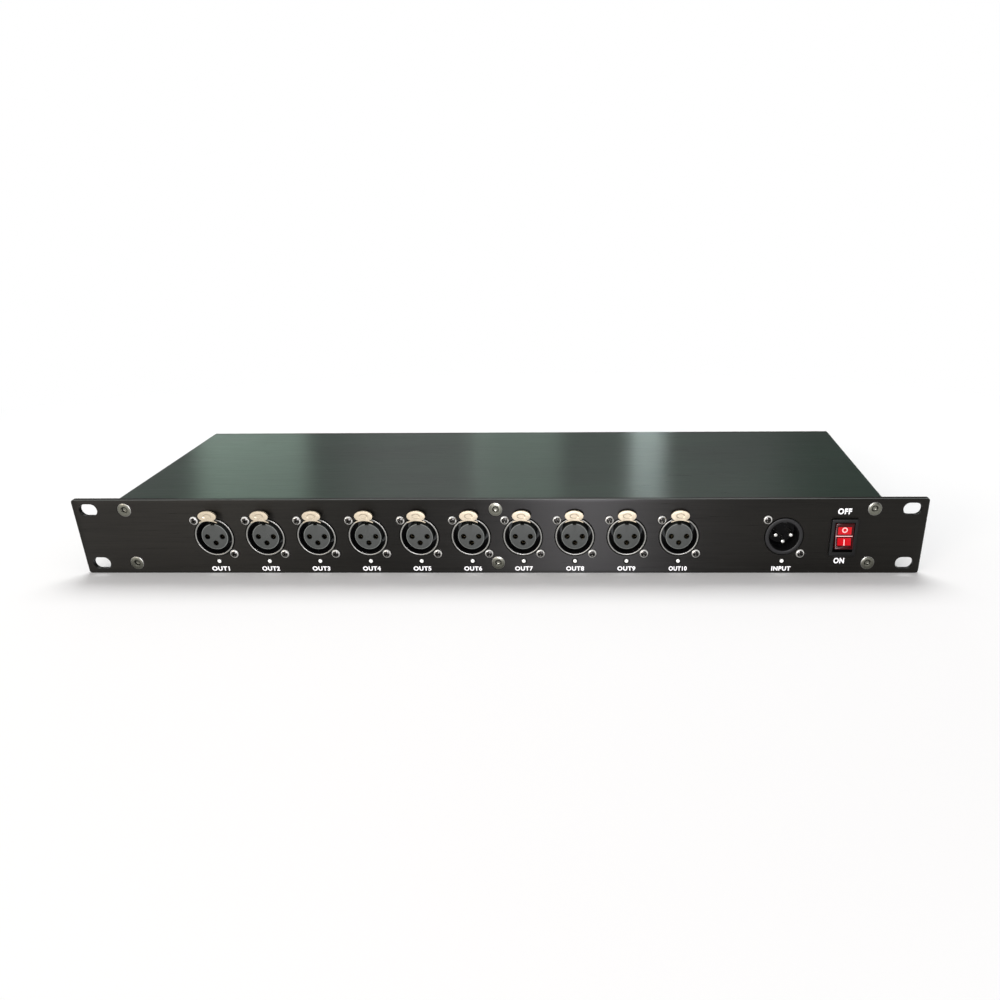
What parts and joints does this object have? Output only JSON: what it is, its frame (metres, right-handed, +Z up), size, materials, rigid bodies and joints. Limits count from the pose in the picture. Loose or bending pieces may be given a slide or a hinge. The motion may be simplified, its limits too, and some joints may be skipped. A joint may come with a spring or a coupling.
{
  "type": "dmx splitter",
  "caption": "Rack-mount lighting signal splitter: brushed black panel with latching sockets, an input plug, indicator lamps and a red rocker switch.",
  "frame": {"origin": "middle of the footprint, on the surface that the panels stand on", "axes": "+X to the right along the front panel, -Y out of the front panel, +Z up"},
  "size_m": [0.4826, 0.1694, 0.044],
  "materials": {
    "panel": "brushed along the width and anodised black",
    "case": "extruded, brushed along the width and anodised black",
    "screw": "nickel-plated steel, countersunk head with a hexagon socket",
    "socket_body": "die-cast shell with a black coat, worn bright on the rim",
    "insert": "moulded dark grey contact carrier",
    "pin_insert": "moulded black contact carrier with bright pins",
    "latch": "nickel-plated push tab, warm in tone",
    "switch_body": "moulded black nylon",
    "rocker": "translucent red polycarbonate",
    "circuit_board": "green solder mask on glass epoxy board, with its parts",
    "ribbon": "grey flat ribbon cable",
    "inlet_body": "moulded black, with nickel-plated blades",
    "lead": "insulated hook-up wire",
    "lamp": "clear indicator lamp lens, 3 mm",
    "marking": "white screen-printed ink"
  },
  "bodies": {
    "case": {"front_panel": "panel", "top_shell": "case", "bottom_shell": "case", "front_screw_top_left": "screw", "front_screw_top_middle": "screw", "front_screw_top_right": "screw", "front_screw_bottom_left": "screw", "front_screw_bottom_middle": "screw", "front_screw_bottom_right": "screw", "output_socket_1": "socket_body", "output_insert_1": "insert", "output_socket_2": "socket_body", "output_insert_2": "insert", "output_socket_3": "socket_body", "output_insert_3": "insert", "output_socket_4": "socket_body", "output_insert_4": "insert", "output_socket_5": "socket_body", "output_insert_5": "insert", "output_socket_6": "socket_body", "output_insert_6": "insert", "output_socket_7": "socket_body", "output_insert_7": "insert", "output_socket_8": "socket_body", "output_insert_8": "insert", "output_socket_9": "socket_body", "output_insert_9": "insert", "output_socket_10": "socket_body", "output_insert_10": "insert", "input_socket": "socket_body", "input_insert": "pin_insert", "switch_housing": "switch_body", "connector_board": "circuit_board", "driver_board": "circuit_board", "ribbon_cable": "ribbon", "power_supply": "circuit_board", "rear_panel": "panel", "rear_screw_top_left": "screw", "rear_screw_top_middle": "screw", "rear_screw_top_right": "screw", "rear_screw_bottom_left": "screw", "rear_screw_bottom_middle": "screw", "rear_screw_bottom_right": "screw", "mains_inlet": "inlet_body", "live_lead": "lead", "switched_lead": "lead", "neutral_lead": "lead", "supply_lead": "lead", "earth_lead": "lead"},
    "latch_1": {"output_latch_1": "latch"},
    "latch_2": {"output_latch_2": "latch"},
    "latch_3": {"output_latch_3": "latch"},
    "latch_4": {"output_latch_4": "latch"},
    "latch_5": {"output_latch_5": "latch"},
    "latch_6": {"output_latch_6": "latch"},
    "latch_7": {"output_latch_7": "latch"},
    "latch_8": {"output_latch_8": "latch"},
    "latch_9": {"output_latch_9": "latch"},
    "latch_10": {"output_latch_10": "latch"},
    "rocker": {"switch_rocker": "rocker"}
  },
  "joints": [
    {"name": "latch_1_press", "type": "hinge", "parent": "case", "child": "latch_1", "pos_m": [-0.16279, -0.07195, 0.0375], "axis": [1, 0, 0], "range_deg": [0, 7], "stiffness_Nm_per_rad": 0.1, "springref_deg": -5.73},
    {"name": "latch_2_press", "type": "hinge", "parent": "case", "child": "latch_2", "pos_m": [-0.1332, -0.07195, 0.0375], "axis": [1, 0, 0], "range_deg": [0, 7], "stiffness_Nm_per_rad": 0.1, "springref_deg": -5.73},
    {"name": "latch_3_press", "type": "hinge", "parent": "case", "child": "latch_3", "pos_m": [-0.1036, -0.07195, 0.0375], "axis": [1, 0, 0], "range_deg": [0, 7], "stiffness_Nm_per_rad": 0.1, "springref_deg": -5.73},
    {"name": "latch_4_press", "type": "hinge", "parent": "case", "child": "latch_4", "pos_m": [-0.074, -0.07195, 0.0375], "axis": [1, 0, 0], "range_deg": [0, 7], "stiffness_Nm_per_rad": 0.1, "springref_deg": -5.73},
    {"name": "latch_5_press", "type": "hinge", "parent": "case", "child": "latch_5", "pos_m": [-0.0444, -0.07195, 0.0375], "axis": [1, 0, 0], "range_deg": [0, 7], "stiffness_Nm_per_rad": 0.1, "springref_deg": -5.73},
    {"name": "latch_6_press", "type": "hinge", "parent": "case", "child": "latch_6", "pos_m": [-0.0148, -0.07195, 0.0375], "axis": [1, 0, 0], "range_deg": [0, 7], "stiffness_Nm_per_rad": 0.1, "springref_deg": -5.73},
    {"name": "latch_7_press", "type": "hinge", "parent": "case", "child": "latch_7", "pos_m": [0.0148, -0.07195, 0.0375], "axis": [1, 0, 0], "range_deg": [0, 7], "stiffness_Nm_per_rad": 0.1, "springref_deg": -5.73},
    {"name": "latch_8_press", "type": "hinge", "parent": "case", "child": "latch_8", "pos_m": [0.0444, -0.07195, 0.0375], "axis": [1, 0, 0], "range_deg": [0, 7], "stiffness_Nm_per_rad": 0.1, "springref_deg": -5.73},
    {"name": "latch_9_press", "type": "hinge", "parent": "case", "child": "latch_9", "pos_m": [0.074, -0.07195, 0.0375], "axis": [1, 0, 0], "range_deg": [0, 7], "stiffness_Nm_per_rad": 0.1, "springref_deg": -5.73},
    {"name": "latch_10_press", "type": "hinge", "parent": "case", "child": "latch_10", "pos_m": [0.1036, -0.07195, 0.0375], "axis": [1, 0, 0], "range_deg": [0, 7], "stiffness_Nm_per_rad": 0.1, "springref_deg": -5.73},
    {"name": "rocker_tilt", "type": "hinge", "parent": "case", "child": "rocker", "pos_m": [0.19599, -0.07685, 0.022], "axis": [1, 0, 0], "range_deg": [0, 22]}
  ]
}
